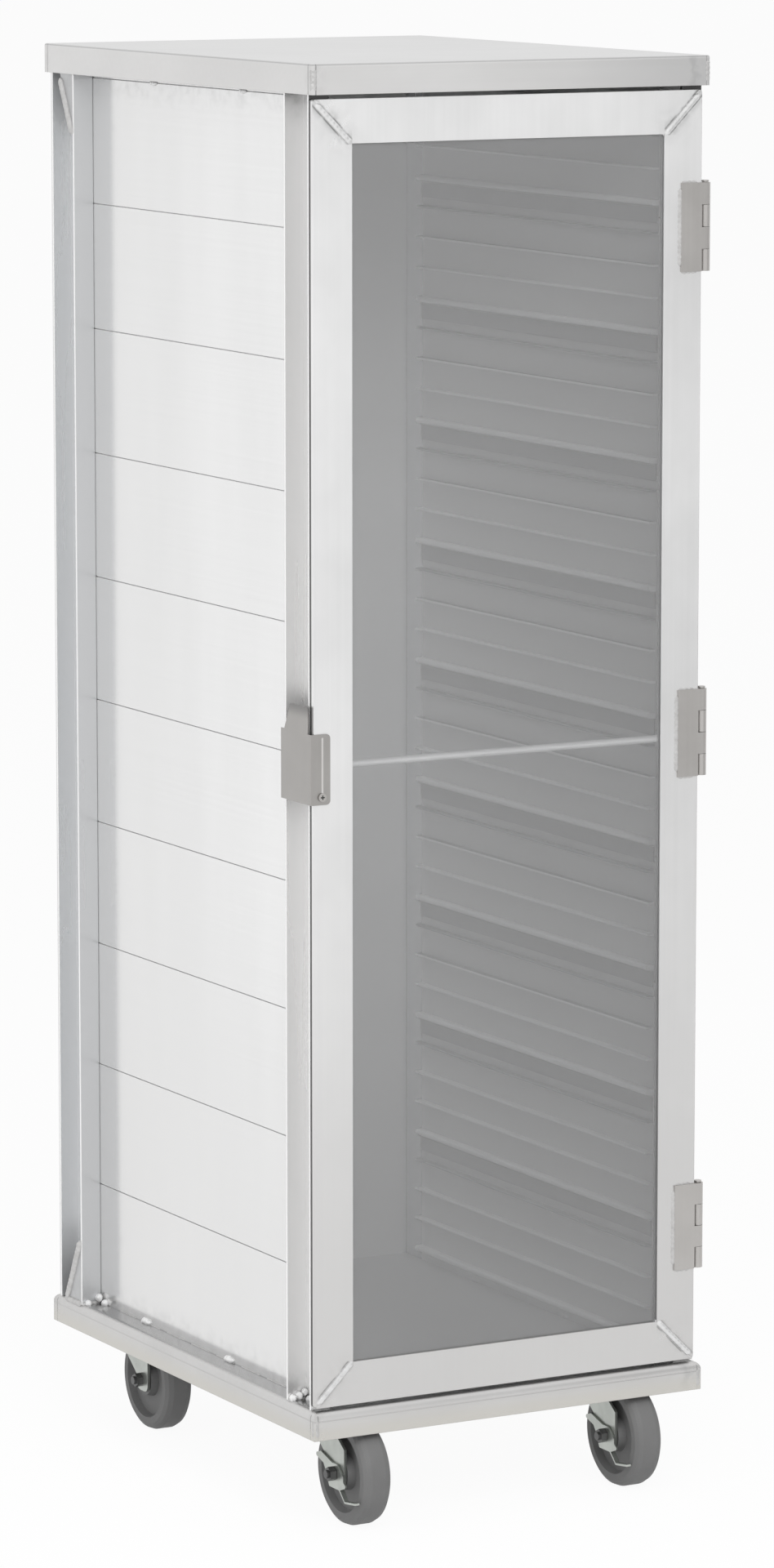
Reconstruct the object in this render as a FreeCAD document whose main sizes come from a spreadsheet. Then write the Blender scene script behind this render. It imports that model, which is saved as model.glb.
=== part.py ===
import FreeCAD, Part
import os
import Sketcher

# Enclosed bun pan rack: welded aluminium cabinet, interlocking ledge planks, a clear door and four casters.
# Frame: +Z up, +X to the right of the door, door at -Y, origin on the floor under the middle of the cabinet.

doc = FreeCAD.newDocument("BunPanRack")

driving = {
    # overall sheet work
    "side_overhang": 3.0,
    "end_overhang": 15.0,
    "sheet_gauge": 2.0,
    "rim_height": 34.0,
    "nose_radius": 9.0,
    "lip_height": 35.0,
    "lid_edge_radius": 3.0,
    "lid_drop_gap": 4.0,
    # wall planks
    "inner_width": 463.6,
    "plank_count": 10.0,
    "plank_pitch": 152.4,
    "plank_length": 572.0,
    "plank_web": 2.2,
    "plank_lap": 12.0,
    "plank_root": 6.0,
    "lap_clearance": 0.15,
    "seam_gap": 1.2,
    "ledge_count": 4.0,
    "ledge_rise": 20.5,
    "ledge_reach": 10.0,
    "ledge_gauge": 2.6,
    "seam_ledge_gauge": 7.0,
    "cap_flange": 16.0,
    # corner posts
    "post_width": 60.0,
    "post_depth": 26.5,
    "post_gauge": 2.5,
    "post_bend_radius": 1.2,
    "frame_depth": 666.0,
    "foot_gusset_height": 81.0,
    "head_gusset_height": 103.0,
    "gusset_slope": 0.49,
    # door
    "door_right_inset": 5.5,
    "door_bottom_gap": 4.0,
    "door_top_gap": 5.0,
    "door_back_gap": 2.5,
    "door_gauge": 8.0,
    "door_corner_radius": 4.0,
    "rail_width": 50.8,
    "pane_gauge": 3.0,
    "pane_engagement": 8.0,
    "pane_clearance": 0.2,
    "rod_diameter": 9.0,
    "rod_drop": 4.5,
    "rod_lap": 15.0,
    # hinges
    "hinge_count": 3.0,
    "hinge_inset": 161.5,
    "hinge_rise": 1.5,
    "hinge_height": 104.0,
    "leaf_gauge": 2.0,
    "door_leaf_width": 28.0,
    "post_leaf_width": 20.0,
    "knuckle_reach": 7.5,
    "knuckle_gap": 0.4,
    "pin_radius": 3.0,
    "pin_clearance": 0.05,
    "pin_head_radius": 4.5,
    "pin_head_gauge": 2.0,
    # latch
    "latch_gauge": 1.5,
    "latch_side_gap": 3.0,
    "latch_front_gap": 0.3,
    "latch_drop": 47.5,
    "latch_height": 82.0,
    "latch_tail": 64.0,
    "latch_face_width": 25.0,
    "latch_ear_height": 31.0,
    "latch_ear_width": 57.0,
    "latch_ear_front": 9.0,
    "latch_corner_radius": 5.0,
    "latch_pivot_rise": 9.0,
    "latch_pivot_inset": 11.0,
    "latch_screw_radius": 2.5,
    "latch_head_radius": 5.0,
    "latch_head_gauge": 2.0,
    # casters
    "caster_height": 150.6,
    "caster_side_inset": 78.5,
    "caster_end_inset": 90.8,
    "caster_trail": 42.5,
    "top_plate_length": 95.0,
    "top_plate_width": 68.0,
    "top_plate_gauge": 3.0,
    "bolt_span_length": 75.0,
    "bolt_span_width": 46.0,
    "bolt_radius": 4.0,
    "bolt_clearance": 0.2,
    "bolt_head_radius": 7.5,
    "bolt_head_height": 5.0,
    "wheel_radius": 63.5,
    "wheel_width": 36.0,
    "tread_crown": 7.0,
    "wheel_hub_radius": 20.0,
    "wheel_hub_width": 38.0,
    "wheel_web_width": 18.0,
    "wheel_rim_radius": 45.0,
    "wheel_side_gap": 1.5,
    "axle_radius": 5.0,
    "axle_clearance": 0.05,
    "axle_nut_radius": 8.7,
    "axle_nut_height": 8.0,
    "axle_tail": 3.0,
    "fork_gauge": 3.5,
    "crown_drop": 26.0,
    "crown_gauge": 5.0,
    "crown_front": 12.0,
    "crown_rear": 27.0,
    "crown_skirt": 12.0,
    "fork_toe": 19.5,
    "fork_heel": 9.5,
    "fork_shin": 32.0,
    "fork_foot": 13.0,
    "fork_corner_radius": 9.0,
    "race_radius": 27.0,
    "race_height": 5.0,
    "race_gap": 0.4,
    "kingpin_radius": 6.0,
    "kingpin_clearance": 0.05,
    "kingpin_head_radius": 9.0,
    "kingpin_head_gauge": 3.5,
    # brakes on the front casters
    "brake_gauge": 2.5,
    "brake_gap": 0.4,
    "brake_half_length": 22.0,
    "brake_half_height": 15.0,
    "brake_arm": 50.0,
    "brake_arm_rise": 14.0,
    "brake_band": 11.5,
    "brake_tread_reach": 52.0,
    "brake_tread_drop": 31.0,
    "brake_tread_width": 6.0,
    "brake_corner_radius": 2.5,
}

derived = {
    "wall_outer": "inner_width / 2 + plank_web",
    "post_outer": "wall_outer + post_depth",
    "outer_width": "2 * (post_outer + side_overhang)",
    "outer_depth": "frame_depth + 2 * end_overhang",
    "base_top": "caster_height + sheet_gauge",
    "base_bottom": "base_top - rim_height",
    "wall_height": "plank_count * plank_pitch",
    "wall_top": "base_top + wall_height",
    "lid_bottom": "wall_top + lid_drop_gap",
    "lid_top": "lid_bottom + lip_height",
    "lid_under": "lid_top - sheet_gauge",
    "post_height": "lid_under - base_top",
    "ledge_pitch": "plank_pitch / ledge_count",
    "frame_front": "frame_depth / 2",
    "door_left": "-post_outer",
    "door_right": "post_outer - door_right_inset",
    "door_back": "-frame_front - door_back_gap",
    "door_front": "door_back - door_gauge",
    "door_bottom": "base_top + door_bottom_gap",
    "door_top": "lid_bottom - door_top_gap",
    "door_middle": "(door_bottom + door_top) / 2",
    "rod_height": "door_middle - rod_drop",
    "hinge_middle": "door_middle + hinge_rise",
    "hinge_spacing": "(door_top - door_bottom) / 2 - hinge_inset",
    "latch_foot": "door_middle - latch_drop",
    "pane_middle": "door_back - door_gauge / 2",
    "barrel_radius": "(door_gauge + door_back_gap + leaf_gauge) / 2",
    "barrel_x": "door_right + knuckle_reach",
    "barrel_y": "-frame_front - barrel_radius",
    "knuckle_height": "hinge_height / 4",
    "latch_inner": "door_left - latch_side_gap",
    "latch_back": "door_front - latch_front_gap",
    "latch_pivot_x": "latch_inner - latch_gauge + latch_face_width - latch_pivot_inset",
    "latch_pivot_z": "latch_foot + latch_pivot_rise",
    "fork_half": "wheel_hub_width / 2 + wheel_side_gap + fork_gauge",
    "caster_span_x": "outer_width - 2 * caster_side_inset",
    "caster_span_y": "outer_depth - 2 * caster_end_inset",
    "crown_height": "caster_height - crown_drop",
    "crown_top": "crown_height + crown_gauge",
    "race_top": "crown_top + race_height",
    "plate_bottom": "caster_height - top_plate_gauge",
}

sizes = doc.addObject("Spreadsheet::Sheet", "Sizes")
for row, (alias, number) in enumerate(driving.items(), start=1):
    sizes.set(f"A{row}", alias)
    sizes.set(f"B{row}", str(number))
    sizes.setAlias(f"B{row}", alias)
for row, (alias, formula) in enumerate(derived.items(), start=1):
    sizes.set(f"D{row}", alias)
    sizes.set(f"E{row}", "=" + formula)
    sizes.setAlias(f"E{row}", alias)
doc.recompute()

words = set(driving) | set(derived)
nodes = []


def bind(formula):
    """Write a formula of size names so that an object's expression can read it from the sheet."""
    text = ""
    word = ""
    for letter in str(formula) + " ":
        if letter.isalnum() or letter in "_.":
            word += letter
            continue
        text += ("Sizes." + word) if word in words else word
        text += letter
        word = ""
    return text.strip()


def value(formula):
    return float(sizes.evalExpression(bind(formula)))


def tie(thing, prop, formula):
    thing.setExpression(prop, bind(formula))


def place(thing, x="0", y="0", z="0", axis=None, turn=0):
    """Put an object at a place worked out from the sheet, turned about one axis."""
    rotation = FreeCAD.Rotation(FreeCAD.Vector(*axis), turn) if axis else FreeCAD.Rotation()
    thing.Placement = FreeCAD.Placement(FreeCAD.Vector(value(x), value(y), value(z)), rotation)
    tie(thing, "Placement.Base.x", x)
    tie(thing, "Placement.Base.y", y)
    tie(thing, "Placement.Base.z", z)
    return thing


def node(thing, label):
    thing.Label = label
    nodes.append(thing)
    return thing


def new_body(name):
    return doc.addObject("PartDesign::Body", name)


def new_sketch(body, role, offset="0"):
    plane = next(feature for feature in body.Origin.OriginFeatures if feature.Role == role)
    sketch = body.newObject("Sketcher::SketchObject", "Sketch")
    sketch.AttachmentSupport = [(plane, "")]
    sketch.MapMode = "FlatFace"
    tie(sketch, "AttachmentOffset.Base.z", offset)
    return sketch


def draw_outline(sketch, corners):
    """Draw a closed outline of straight sides, each corner held by two formulas."""
    points = [FreeCAD.Vector(value(across), value(up), 0) for across, up in corners]
    first = sketch.GeometryCount
    for index, point in enumerate(points):
        sketch.addGeometry(Part.LineSegment(point, points[(index + 1) % len(points)]))
    for index, (across, up) in enumerate(corners):
        line = first + index
        following = first + (index + 1) % len(points)
        sketch.addConstraint(Sketcher.Constraint("Coincident", line, 2, following, 1))
        spot = points[index]
        across_index = sketch.addConstraint(Sketcher.Constraint("DistanceX", -1, 1, line, 1, spot.x))
        tie(sketch, f"Constraints[{across_index}]", across)
        up_index = sketch.addConstraint(Sketcher.Constraint("DistanceY", -1, 1, line, 1, spot.y))
        tie(sketch, f"Constraints[{up_index}]", up)
    return sketch


def draw_circle(sketch, across, up, radius):
    centre = FreeCAD.Vector(value(across), value(up), 0)
    ring = sketch.addGeometry(Part.Circle(centre, FreeCAD.Vector(0, 0, 1), value(radius)))
    across_index = sketch.addConstraint(Sketcher.Constraint("DistanceX", -1, 1, ring, 3, centre.x))
    tie(sketch, f"Constraints[{across_index}]", across)
    up_index = sketch.addConstraint(Sketcher.Constraint("DistanceY", -1, 1, ring, 3, centre.y))
    tie(sketch, f"Constraints[{up_index}]", up)
    radius_index = sketch.addConstraint(Sketcher.Constraint("Radius", ring, value(radius)))
    tie(sketch, f"Constraints[{radius_index}]", radius)
    return sketch


def rectangle(left, low, right, high):
    return [(left, low), (right, low), (right, high), (left, high)]


def add_pad(body, sketch, length, both_sides=False, back=False):
    pad = body.newObject("PartDesign::Pad", "Pad")
    pad.Profile = sketch
    tie(pad, "Length", length)
    pad.SideType = "Symmetric" if both_sides else "One side"
    pad.Reversed = back
    doc.recompute()
    return pad


def add_pocket(body, sketch):
    """Cut a sketch right through its body, both ways."""
    before = body.Shape.Volume
    pocket = body.newObject("PartDesign::Pocket", "Pocket")
    pocket.Profile = sketch
    pocket.Type = "ThroughAll"
    pocket.SideType = "Symmetric"
    doc.recompute()
    if body.Shape.Volume > before - 1e-3:
        raise RuntimeError(f"{body.Label}: a pocket removed nothing")
    return pocket


def add_fillet(body, radius, wanted):
    """Round every edge of the body that the test picks."""
    base = body.Tip
    edges = [f"Edge{index}" for index, edge in enumerate(base.Shape.Edges, start=1) if wanted(edge)]
    fillet = body.newObject("PartDesign::Fillet", "Fillet")
    fillet.Base = (base, edges)
    tie(fillet, "Radius", radius)
    doc.recompute()
    return fillet


def is_close(first, second):
    return abs(first - second) < 1e-4


def level(edge, axis):
    """The one coordinate that both ends of an edge share along an axis, or None."""
    ends = [getattr(vertex.Point, axis) for vertex in edge.Vertexes]
    return ends[0] if len(ends) == 2 and is_close(ends[0], ends[1]) else None


def add_box(name, x, y, z, length, width, height):
    box = doc.addObject("Part::Box", name)
    tie(box, "Length", length)
    tie(box, "Width", width)
    tie(box, "Height", height)
    return place(box, x, y, z)


def add_rod(name, x, y, z, radius, length, axis=None, turn=0):
    rod = doc.addObject("Part::Cylinder", name)
    tie(rod, "Radius", radius)
    tie(rod, "Height", length)
    return place(rod, x, y, z, axis, turn)


def add_hexagon(name, x, y, z, radius, height, axis=None, turn=0):
    prism = doc.addObject("Part::Prism", name)
    prism.Polygon = 6
    tie(prism, "Circumradius", radius)
    tie(prism, "Height", height)
    return place(prism, x, y, z, axis, turn)


def fuse(name, pieces):
    joined = doc.addObject("Part::MultiFuse", name)
    joined.Shapes = pieces
    return joined


def cut(name, base, tool):
    result = doc.addObject("Part::Cut", name)
    result.Base = base
    result.Tool = tool
    return result


def common(name, first, second):
    result = doc.addObject("Part::MultiCommon", name)
    result.Shapes = [first, second]
    return result


def group(name, pieces):
    compound = doc.addObject("Part::Compound", name)
    compound.Links = pieces
    return compound


def folded_tray(name, height, radius, round_corners):
    """A sheet folded down on four sides: its top edges are rounded and its underside is open."""
    body = new_body(name)
    half_width, half_depth = "outer_width / 2", "outer_depth / 2"
    corners = rectangle("-" + half_width, "-" + half_depth, half_width, half_depth)
    add_pad(body, draw_outline(new_sketch(body, "XY_Plane"), corners), height)
    top = value(height)

    def rounded(edge):
        on_top = level(edge, "z") is not None and is_close(level(edge, "z"), top)
        return on_top or (round_corners and level(edge, "z") is None)

    add_fillet(body, radius, rounded)
    solid = body.Tip
    underside = next(
        f"Face{index}"
        for index, face in enumerate(solid.Shape.Faces, start=1)
        if is_close(face.CenterOfMass.z, 0.0)
    )
    shell = body.newObject("PartDesign::Thickness", "Shell")
    shell.Base = (solid, [underside])
    tie(shell, "Value", "sheet_gauge")
    shell.Reversed = True
    doc.recompute()
    return body


# Sheet work
base_pan = node(folded_tray("BasePan", "rim_height", "nose_radius", False), "base_pan")
place(base_pan, z="base_bottom")
lid = node(folded_tray("Lid", "lip_height", "lid_edge_radius", True), "lid")
place(lid, z="lid_bottom")
rear_panel = node(
    add_box("RearPanel", "-post_outer", "frame_front", "base_top",
            "2 * post_outer", "sheet_gauge", "post_height"),
    "rear_panel",
)


# Corner posts: open channels, web against the planks, flanges pointing out to the side
def corner_post(name):
    body = new_body(name)
    corners = [
        ("0", "0"),
        ("0", "post_width"),
        ("-post_depth", "post_width"),
        ("-post_depth", "post_width - post_gauge"),
        ("-post_gauge", "post_width - post_gauge"),
        ("-post_gauge", "post_gauge"),
        ("-post_depth", "post_gauge"),
        ("-post_depth", "0"),
    ]
    add_pad(body, draw_outline(new_sketch(body, "XY_Plane"), corners), "post_height")

    def bend(edge):
        return level(edge, "z") is None and is_close(edge.Vertexes[0].X, 0)

    add_fillet(body, "post_bend_radius", bend)
    return body


half_turn = {"axis": (0, 0, 1), "turn": 180}
for end, low in (("front", "-frame_front"), ("rear", "frame_front - post_width")):
    left_post = node(corner_post("LeftPost"), f"{end}_post_left")
    place(left_post, "-wall_outer", low, "base_top")
    right_post = node(corner_post("RightPost"), f"{end}_post_right")
    place(right_post, "wall_outer", low + " + post_width", "base_top", **half_turn)


# Gussets close the rear channels at the foot and the head
def gusset(name, height):
    body = new_body(name)
    corners = [("0", "0"), (f"{height} * gusset_slope", "0"), ("0", height)]
    add_pad(body, draw_outline(new_sketch(body, "YZ_Plane"), corners), "post_gauge")
    return body


gusset_edge = "frame_front - post_width + post_gauge"
gussets = []
for side in ("-post_outer", "post_outer - post_gauge"):
    gussets.append(place(gusset("FootGusset", "foot_gusset_height"), side, gusset_edge, "base_top"))
for side in ("-post_outer + post_gauge", "post_outer"):
    head = gusset("HeadGusset", "head_gusset_height")
    gussets.append(place(head, side, gusset_edge, "lid_under", axis=(0, 1, 0), turn=180))
node(group("PostGussets", gussets), "post_gussets")


# Wall planks: each laps the one below, and its ledges carry the pans
def plank_profile():
    web, tip = "plank_web", "plank_web + ledge_reach"
    corners = [("0", "0"), (web, "0")]
    for index in range(int(driving["ledge_count"])):
        gauge = "seam_ledge_gauge" if index == 0 else "ledge_gauge"
        upper = f"ledge_rise + {index} * ledge_pitch"
        lower = f"{upper} - {gauge}"
        corners += [(web, lower), (tip, lower), (tip, upper), (web, upper)]
    tongue_inner = "2 * plank_web + lap_clearance"
    tongue_outer = "plank_web + lap_clearance"
    shoulder = "plank_pitch - seam_gap"
    corners += [
        (web, f"{shoulder} - plank_root"),
        (tongue_inner, f"{shoulder} - plank_root"),
        (tongue_inner, "plank_pitch + plank_lap"),
        (tongue_outer, "plank_pitch + plank_lap"),
        (tongue_outer, shoulder),
        ("0", shoulder),
    ]
    return corners


def wall_plank(name):
    body = new_body(name)
    add_pad(body, draw_outline(new_sketch(body, "XZ_Plane"), plank_profile()), "plank_length", back=True)
    tip = value("plank_web + ledge_reach")
    seam_top = value("ledge_rise") + 1e-3

    def on_nose(edge):
        return level(edge, "y") is None and is_close(edge.Vertexes[0].X, tip)

    add_fillet(body, "seam_ledge_gauge * 0.42", lambda edge: on_nose(edge) and edge.Vertexes[0].Z < seam_top)
    add_fillet(body, "ledge_gauge * 0.42", lambda edge: on_nose(edge) and edge.Vertexes[0].Z > seam_top)
    return body


def wall_cap(name):
    body = new_body(name)
    height = "lid_under - wall_top"
    corners = [
        ("0", "0"),
        ("plank_web", "0"),
        ("plank_web", f"{height} - plank_web"),
        ("cap_flange", f"{height} - plank_web"),
        ("cap_flange", height),
        ("0", height),
    ]
    add_pad(body, draw_outline(new_sketch(body, "XZ_Plane"), corners), "plank_length", back=True)
    return body


def stand_wall_piece(make, name, label, height):
    """Make one piece of wall on each side; the right one is the left one turned round."""
    left = node(make(name + "Left"), label.replace("SIDE", "left"))
    place(left, "-wall_outer", "-plank_length / 2", height)
    right = node(make(name + "Right"), label.replace("SIDE", "right"))
    place(right, "wall_outer", "plank_length / 2", height, **half_turn)


for index in range(int(driving["plank_count"])):
    label = f"wall_plank_SIDE_{index + 1:02d}"
    stand_wall_piece(wall_plank, "Plank", label, f"base_top + {index} * plank_pitch")
stand_wall_piece(wall_cap, "Cap", "wall_cap_SIDE", "wall_top")


# Door frame: four mitred bars with a slot for the pane
def mitred_bar(name, corners):
    body = new_body(name)
    sketch = draw_outline(new_sketch(body, "XZ_Plane", "-door_back"), corners)
    add_pad(body, sketch, "door_gauge")
    return body


door_blank = new_body("DoorBlank")
blank_sketch = new_sketch(door_blank, "XZ_Plane", "-door_back")
draw_outline(blank_sketch, rectangle("door_left", "door_bottom", "door_right", "door_top"))
add_pad(door_blank, blank_sketch, "door_gauge")
add_fillet(door_blank, "door_corner_radius", lambda edge: level(edge, "y") is None)

slot_reach = "(rail_width - pane_engagement - pane_clearance)"
pane_slot = add_box(
    "PaneSlot",
    f"door_left + {slot_reach}",
    "pane_middle - pane_gauge / 2 - pane_clearance",
    f"door_bottom + {slot_reach}",
    f"door_right - door_left - 2 * {slot_reach}",
    "pane_gauge + 2 * pane_clearance",
    f"door_top - door_bottom - 2 * {slot_reach}",
)

outer = {"left": "door_left", "right": "door_right", "bottom": "door_bottom", "top": "door_top"}
inner = {
    "left": "door_left + rail_width",
    "right": "door_right - rail_width",
    "bottom": "door_bottom + rail_width",
    "top": "door_top - rail_width",
}


def corner(edges, side, end):
    return (edges[side], edges[end])


bars = {}
for side in ("left", "right"):
    corners = [corner(outer, side, "bottom"), corner(inner, side, "bottom"),
               corner(inner, side, "top"), corner(outer, side, "top")]
    bars[f"door_stile_{side}"] = corners
for end in ("bottom", "top"):
    corners = [corner(outer, "left", end), corner(outer, "right", end),
               corner(inner, "right", end), corner(inner, "left", end)]
    bars[f"door_rail_{end}"] = corners

screw_hole = add_rod(
    "ScrewHole", "latch_pivot_x", "door_back + 1", "latch_pivot_z",
    "latch_screw_radius + pin_clearance", "door_gauge + 2", axis=(1, 0, 0), turn=90,
)
for label, corners in bars.items():
    bar = common("RoundedBar", mitred_bar("Bar", corners), door_blank)
    slotted = cut("SlottedBar", bar, pane_slot)
    if label == "door_stile_left":
        slotted = cut("DrilledBar", slotted, screw_hole)
    node(slotted, label)

pane_reach = "(rail_width - pane_engagement)"
node(
    add_box(
        "Pane",
        f"door_left + {pane_reach}",
        "pane_middle - pane_gauge / 2",
        f"door_bottom + {pane_reach}",
        f"door_right - door_left - 2 * {pane_reach}",
        "pane_gauge",
        f"door_top - door_bottom - 2 * {pane_reach}",
    ),
    "door_window",
)
node(
    add_rod(
        "StiffenerRod",
        "door_left + rail_width - rod_lap",
        "door_back + rod_diameter / 2",
        "rod_height",
        "rod_diameter / 2",
        "door_right - door_left - 2 * rail_width + 2 * rod_lap",
        axis=(0, 1, 0),
        turn=90,
    ),
    "door_rod",
)


# Hinges: four knuckles each, turn about on the door leaf and the post leaf
def hinge_leaf(name, foot, leaf_x, leaf_width, leaf_y, knuckles):
    pieces = [add_box("Leaf", leaf_x, leaf_y, foot, leaf_width, "leaf_gauge", "hinge_height")]
    tall = "knuckle_height - knuckle_gap"
    for index in knuckles:
        low = f"{foot} + {index} * knuckle_height + knuckle_gap / 2"
        tab_x = f"{leaf_x} + {leaf_width}"
        pieces.append(add_box("Tab", tab_x, leaf_y, low, f"barrel_x - ({tab_x})", "leaf_gauge", tall))
        pieces.append(add_rod("Knuckle", "barrel_x", "barrel_y", low, "barrel_radius", tall))
    bore = add_rod("Bore", "barrel_x", "barrel_y", foot, "pin_radius + pin_clearance", "hinge_height")
    return cut(name, fuse("LeafBlank", pieces), bore)


def hinge_pin(foot):
    shank = add_rod("Shank", "barrel_x", "barrel_y", foot, "pin_radius", "hinge_height + knuckle_gap")
    head = add_rod("Head", "barrel_x", "barrel_y", f"{foot} + hinge_height + knuckle_gap",
                   "pin_head_radius", "pin_head_gauge")
    return fuse("HingePin", [shank, head])


door_leaves, post_leaves, pins = [], [], []
middle_hinge = (int(driving["hinge_count"]) - 1) / 2
for index in range(int(driving["hinge_count"])):
    foot = f"(hinge_middle - hinge_height / 2 + {index - middle_hinge} * hinge_spacing)"
    door_leaves.append(
        hinge_leaf("DoorLeaf", foot, "door_right - door_leaf_width", "door_leaf_width",
                   "door_front - leaf_gauge", (1, 3))
    )
    post_leaves.append(
        hinge_leaf("PostLeaf", foot, "door_right + 1 - post_leaf_width", "post_leaf_width",
                   "-frame_front - leaf_gauge", (0, 2))
    )
    pins.append(hinge_pin(foot))
node(group("DoorLeaves", door_leaves), "hinge_leaves_door")
node(group("PostLeaves", post_leaves), "hinge_leaves_post")
node(group("HingePins", pins), "hinge_pins")

# Latch: a bent plate that laps the front post and turns on one screw
latch = new_body("LatchPlate")
latch_outer = "latch_inner - latch_gauge"
latch_face = "latch_back - latch_gauge"
latch_head = "latch_foot + latch_height"
tail = "door_back + latch_tail"
ear_front = f"{latch_face} + latch_ear_front"
ear_rear = f"{ear_front} + latch_ear_width"
side_outline = [
    (latch_face, "latch_foot"),
    (tail, "latch_foot"),
    (tail, latch_head),
    (ear_rear, latch_head),
    (f"{ear_rear} - latch_ear_height / 2", f"{latch_head} + latch_ear_height"),
    (ear_front, f"{latch_head} + latch_ear_height"),
    (ear_front, latch_head),
    (latch_face, latch_head),
]
add_pad(latch, draw_outline(new_sketch(latch, "YZ_Plane", latch_outer), side_outline), "latch_gauge")
face_outline = rectangle(latch_outer, "latch_foot", f"{latch_outer} + latch_face_width", latch_head)
add_pad(latch, draw_outline(new_sketch(latch, "XZ_Plane", "-latch_back"), face_outline), "latch_gauge")
face_edge = value(f"{latch_outer} + latch_face_width")


def free_corner(edge):
    across = level(edge, "x")
    return level(edge, "y") is None and across is not None and is_close(across, face_edge)


add_fillet(latch, "latch_corner_radius", free_corner)
pivot_hole = draw_circle(
    new_sketch(latch, "XZ_Plane", "-latch_back"),
    "latch_pivot_x", "latch_pivot_z", "latch_screw_radius + pin_clearance",
)
add_pocket(latch, pivot_hole)
node(latch, "latch_plate")

screw_shank = add_rod(
    "ScrewShank", "latch_pivot_x", "door_back", "latch_pivot_z", "latch_screw_radius",
    f"door_back - ({latch_face}) + latch_front_gap", axis=(1, 0, 0), turn=90,
)
screw_head = add_rod(
    "ScrewHead", "latch_pivot_x", f"{latch_face} - latch_front_gap", "latch_pivot_z", "latch_head_radius",
    "latch_head_gauge", axis=(1, 0, 0), turn=90,
)
node(fuse("LatchScrew", [screw_shank, screw_head]), "latch_screw")


# Casters, each made about its own swivel axis with the floor at zero
def top_plate(name):
    """Plate, upper race and kingpin, riveted up as one."""
    body = new_body(name)
    half_width, half_length = "top_plate_width / 2", "top_plate_length / 2"
    corners = rectangle("-" + half_width, "-" + half_length, half_width, half_length)
    add_pad(body, draw_outline(new_sketch(body, "XY_Plane", "plate_bottom"), corners), "top_plate_gauge")
    pin_foot = "crown_height - race_gap"
    profile = [
        ("0", "plate_bottom"),
        ("race_radius * 1.15", "plate_bottom"),
        ("race_radius", "race_top + race_gap"),
        ("kingpin_radius", "race_top + race_gap"),
        ("kingpin_radius", pin_foot),
        ("kingpin_head_radius", pin_foot),
        ("kingpin_head_radius", f"{pin_foot} - kingpin_head_gauge"),
        ("0", f"{pin_foot} - kingpin_head_gauge"),
    ]
    sketch = draw_outline(new_sketch(body, "XZ_Plane"), profile)
    turned = body.newObject("PartDesign::Revolution", "Race")
    turned.Profile = sketch
    turned.ReferenceAxis = (sketch, ["V_Axis"])
    turned.Angle = 360
    doc.recompute()
    holes = new_sketch(body, "XY_Plane", "plate_bottom")
    for across in ("-bolt_span_width / 2", "bolt_span_width / 2"):
        for along in ("-bolt_span_length / 2", "bolt_span_length / 2"):
            draw_circle(holes, across, along, "bolt_radius + bolt_clearance")
    add_pocket(body, holes)
    return body


def fork(name):
    """Pressed fork: a crown with a lower race and two legs that trail forward to the axle."""
    body = new_body(name)
    axle_y = "-caster_trail"
    toe, heel = f"{axle_y} - fork_toe", f"{axle_y} + fork_heel"
    foot = "wheel_radius - fork_foot"
    side = [
        ("crown_rear", "crown_top"),
        ("-crown_front", "crown_top"),
        (toe, "wheel_radius + fork_shin"),
        (toe, foot),
        (heel, foot),
        (heel, "wheel_radius + fork_heel / 2"),
        ("crown_rear", "crown_height - crown_skirt"),
    ]
    add_pad(body, draw_outline(new_sketch(body, "YZ_Plane"), side), "2 * fork_half", both_sides=True)
    low = value(foot)

    def foot_corner(edge):
        return level(edge, "x") is None and is_close(edge.Vertexes[0].Z, low)

    add_fillet(body, "fork_corner_radius", foot_corner)
    gap = "fork_half - fork_gauge"
    slot = draw_outline(new_sketch(body, "XZ_Plane"), rectangle(f"-({gap})", "0", gap, "crown_height"))
    add_pocket(body, slot)
    race = draw_circle(new_sketch(body, "XY_Plane", "crown_top"), "0", "0", "race_radius")
    add_pad(body, race, "race_height")
    bore = draw_circle(new_sketch(body, "XY_Plane"), "0", "0", "kingpin_radius + kingpin_clearance")
    add_pocket(body, bore)
    axle = draw_circle(new_sketch(body, "YZ_Plane"), axle_y, "wheel_radius", "axle_radius + axle_clearance")
    add_pocket(body, axle)
    return body


def wheel(name):
    """One-piece wheel: crowned tread, thin web and a wide hub."""
    body = new_body(name)
    hub, web, rim = "wheel_hub_width / 2", "wheel_web_width / 2", "wheel_width / 2"
    bore = "axle_radius + axle_clearance"
    right = [
        (hub, bore),
        (hub, "wheel_hub_radius"),
        (web, "wheel_hub_radius + 2"),
        (web, "wheel_rim_radius"),
        (rim, "wheel_rim_radius + 3"),
        (rim, "wheel_radius - tread_crown"),
        (f"{rim} * 0.83", "wheel_radius - tread_crown * 0.35"),
        (f"{rim} / 2", "wheel_radius"),
    ]
    left = [(f"-({across})", up) for across, up in reversed(right)]
    sketch = draw_outline(new_sketch(body, "XZ_Plane"), right + left)
    turned = body.newObject("PartDesign::Revolution", "Wheel")
    turned.Profile = sketch
    turned.ReferenceAxis = (sketch, ["H_Axis"])
    turned.Angle = 360
    doc.recompute()
    return body


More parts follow.
